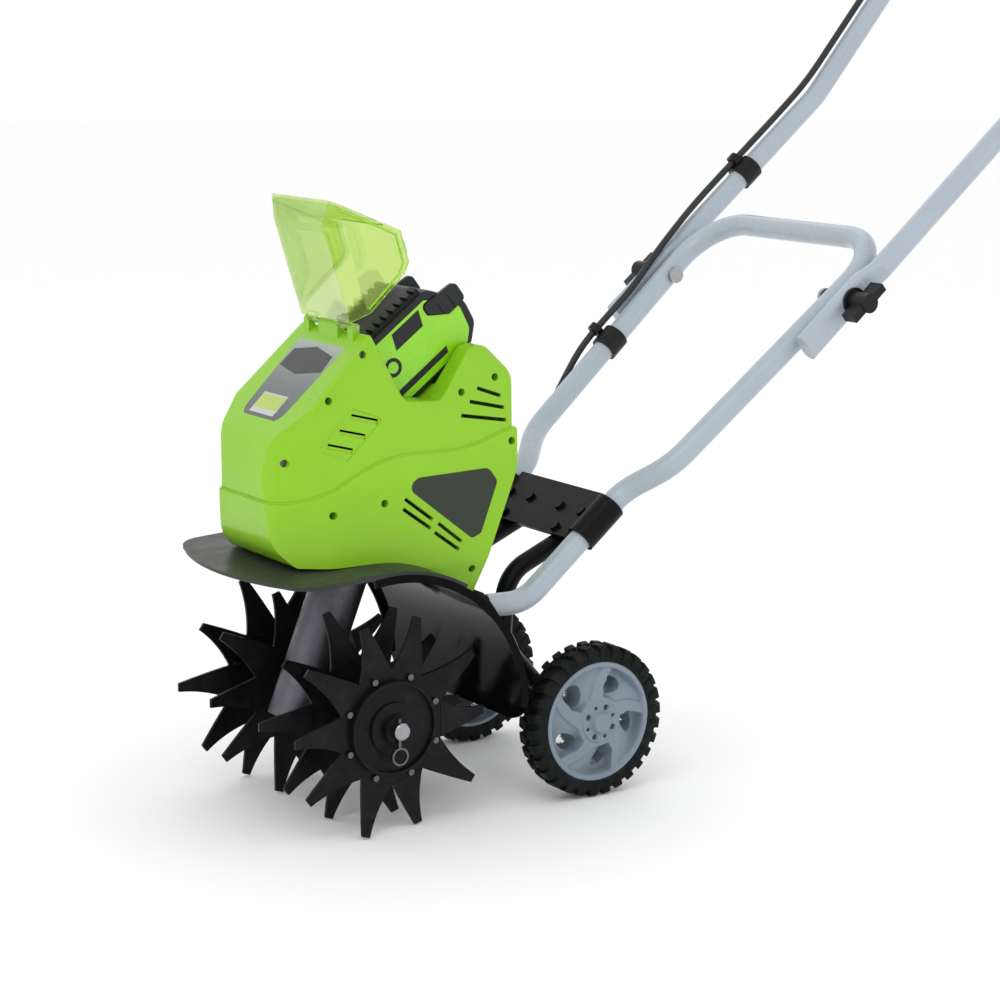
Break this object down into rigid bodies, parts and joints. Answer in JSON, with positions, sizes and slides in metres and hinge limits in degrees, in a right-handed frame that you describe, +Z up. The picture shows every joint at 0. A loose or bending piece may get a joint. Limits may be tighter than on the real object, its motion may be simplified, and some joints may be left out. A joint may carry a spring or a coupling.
{
  "type": "mini cultivator",
  "caption": "Battery mini cultivator: finger tines under a guard, worm drive, green casing with an open clear lid over a raised battery, rear wheels and a folding tube handle.",
  "frame": {"origin": "on the ground under the middle of the machine's bounding box", "axes": "+X forward from the grip to the front guard, +Y to the machine's left along the tine shaft, +Z up"},
  "size_m": [1.08, 0.376, 0.9539],
  "materials": {
    "green_shell": "lime green, semi-gloss moulded",
    "screws": "zinc plated",
    "trim": "dark satin trim panel",
    "clear_lid": "clear lime tinted plastic",
    "black_plastic": "black moulded",
    "charcoal": "charcoal moulded",
    "battery_green": "lime green, semi-gloss",
    "steel_pins": "bright steel",
    "motor_steel": "dark plated can",
    "laminations": "steel laminations and copper",
    "fan": "natural nylon",
    "bronze": "bronze",
    "bearing_steel": "polished",
    "seal_rubber": "black",
    "cast_alloy": "as cast, silver",
    "guard_paint": "dark grey satin",
    "fender_black": "high gloss black",
    "tine_paint": "satin black",
    "plate_paint": "satin black",
    "tube_paint": "light grey powder coat",
    "rim_plastic": "grey-blue",
    "tyre_rubber": "black, lugged",
    "foam": "black foam",
    "bail_paint": "red coated rod",
    "button_red": "red",
    "cable_sheath": "black sheath"
  },
  "bodies": {
    "chassis": {"battery_bay": "black_plastic", "bracket_pin": "steel_pins", "cable_clip_lower": "black_plastic", "cable_lower": "cable_sheath", "cross_plate": "plate_paint", "fold_bolts": "steel_pins", "front_badge": "trim", "front_guard": "guard_paint", "gearcase_left": "cast_alloy", "gearcase_right": "cast_alloy", "handle_saddles": "plate_paint", "housing_left": "green_shell", "housing_right": "green_shell", "housing_screws": "screws", "lid_hinge_pin": "steel_pins", "lower_handle": "tube_paint", "motor_can": "motor_steel", "plate_bolts": "screws", "rear_fender": "fender_black", "shaft_bearings": "bearing_steel", "shaft_seals": "seal_rubber", "side_badges": "trim", "terminal_block": "black_plastic", "tube_clamps": "plate_paint", "worm_bearing": "bearing_steel"},
    "lid": {"battery_lid": "clear_lid"},
    "carriage": {"battery_ejector": "black_plastic"},
    "battery": {"battery_case": "charcoal", "battery_panels": "battery_green", "battery_rails": "black_plastic"},
    "latch_left": {"battery_latch_left": "charcoal"},
    "latch_right": {"battery_latch_right": "charcoal"},
    "tines": {"tine_inner": "tine_paint", "tine_outer": "tine_paint", "tine_shaft": "steel_pins", "tine_hubs": "tine_paint", "hub_plates": "tine_paint", "tine_bolts": "screws", "hitch_pins": "screws", "worm_wheel": "bronze"},
    "motor_rotor": {"motor_shaft": "steel_pins", "armature": "laminations", "cooling_fan": "fan"},
    "rear_carrier": {"wheel_bracket": "plate_paint", "wheel_axle": "steel_pins"},
    "wheel_left": {"rim_left": "rim_plastic", "tyre_left": "tyre_rubber"},
    "wheel_right": {"rim_right": "rim_plastic", "tyre_right": "tyre_rubber"},
    "upper_frame": {"upper_handle": "tube_paint", "foam_grip": "foam", "switch_box_top": "black_plastic", "switch_box_bottom": "black_plastic", "bail_bracket": "black_plastic", "cable_upper": "cable_sheath", "cable_clip_upper": "black_plastic"},
    "fold_knob_left": {"knob_left": "black_plastic"},
    "fold_knob_right": {"knob_right": "black_plastic"},
    "bail": {"bail_lever": "bail_paint"},
    "lockout": {"lock_button": "button_red"}
  },
  "joints": [
    {"name": "lid_hinge", "type": "hinge", "parent": "chassis", "child": "lid", "pos_m": [0.417, 0, 0.452], "axis": [0, 1, 0], "range_deg": [-107, 0]},
    {"name": "carriage_slide", "type": "slide", "parent": "chassis", "child": "carriage", "axis": [-0.7986, 0, 0.6018], "range_m": [-0.07, 0]},
    {"name": "battery_slide", "type": "slide", "parent": "carriage", "child": "battery", "axis": [-0.7986, 0, 0.6018], "range_m": [0, 0.12]},
    {"name": "latch_left_press", "type": "slide", "parent": "battery", "child": "latch_left", "axis": [0, -1, 0], "range_m": [0, 0.002], "stiffness_N_per_m": 800, "springref_m": -0.0005},
    {"name": "latch_right_press", "type": "slide", "parent": "battery", "child": "latch_right", "axis": [0, 1, 0], "range_m": [0, 0.002], "stiffness_N_per_m": 800, "springref_m": -0.0005},
    {"name": "tine_spin", "type": "hinge", "parent": "chassis", "child": "tines", "pos_m": [0.422, 0, 0.098], "axis": [0, 1, 0], "continuous": true},
    {"name": "motor_spin", "type": "hinge", "parent": "chassis", "child": "motor_rotor", "pos_m": [0.45264, 0, 0.11025], "axis": [-0.3714, 0, 0.9285], "continuous": true},
    {"name": "carrier_flip", "type": "hinge", "parent": "chassis", "child": "rear_carrier", "pos_m": [0.169, 0, 0.244], "axis": [0, 1, 0], "range_deg": [0, 60]},
    {"name": "wheel_left_spin", "type": "hinge", "parent": "rear_carrier", "child": "wheel_left", "pos_m": [0.204, 0.11, 0.073], "axis": [0, 1, 0], "continuous": true},
    {"name": "wheel_right_spin", "type": "hinge", "parent": "rear_carrier", "child": "wheel_right", "pos_m": [0.204, -0.11, 0.073], "axis": [0, 1, 0], "continuous": true},
    {"name": "handle_fold", "type": "hinge", "parent": "chassis", "child": "upper_frame", "pos_m": [-0.0614, 0, 0.45779], "axis": [0, 1, 0], "range_deg": [0, 135]},
    {"name": "knob_left_turn", "type": "hinge", "parent": "upper_frame", "child": "fold_knob_left", "pos_m": [-0.0614, 0.175, 0.45779], "axis": [0, 1, 0], "continuous": true},
    {"name": "knob_right_turn", "type": "hinge", "parent": "upper_frame", "child": "fold_knob_right", "pos_m": [-0.0614, -0.175, 0.45779], "axis": [0, 1, 0], "continuous": true},
    {"name": "bail_squeeze", "type": "hinge", "parent": "upper_frame", "child": "bail", "pos_m": [-0.50315, 0, 0.93901], "axis": [0, 1, 0], "range_deg": [0, 30], "stiffness_Nm_per_rad": 0.6, "springref_deg": -17.19},
    {"name": "lock_press", "type": "slide", "parent": "upper_frame", "child": "lockout", "axis": [-0.766, 0, -0.6428], "range_m": [0, 0.0035], "stiffness_N_per_m": 600, "springref_m": -0.001}
  ],
  "couplings": [
    {"joint": "carriage_slide", "follows": "lid_hinge", "m_per_rad": 0.03748},
    {"joint": "motor_spin", "follows": "tine_spin", "ratio": 33}
  ]
}
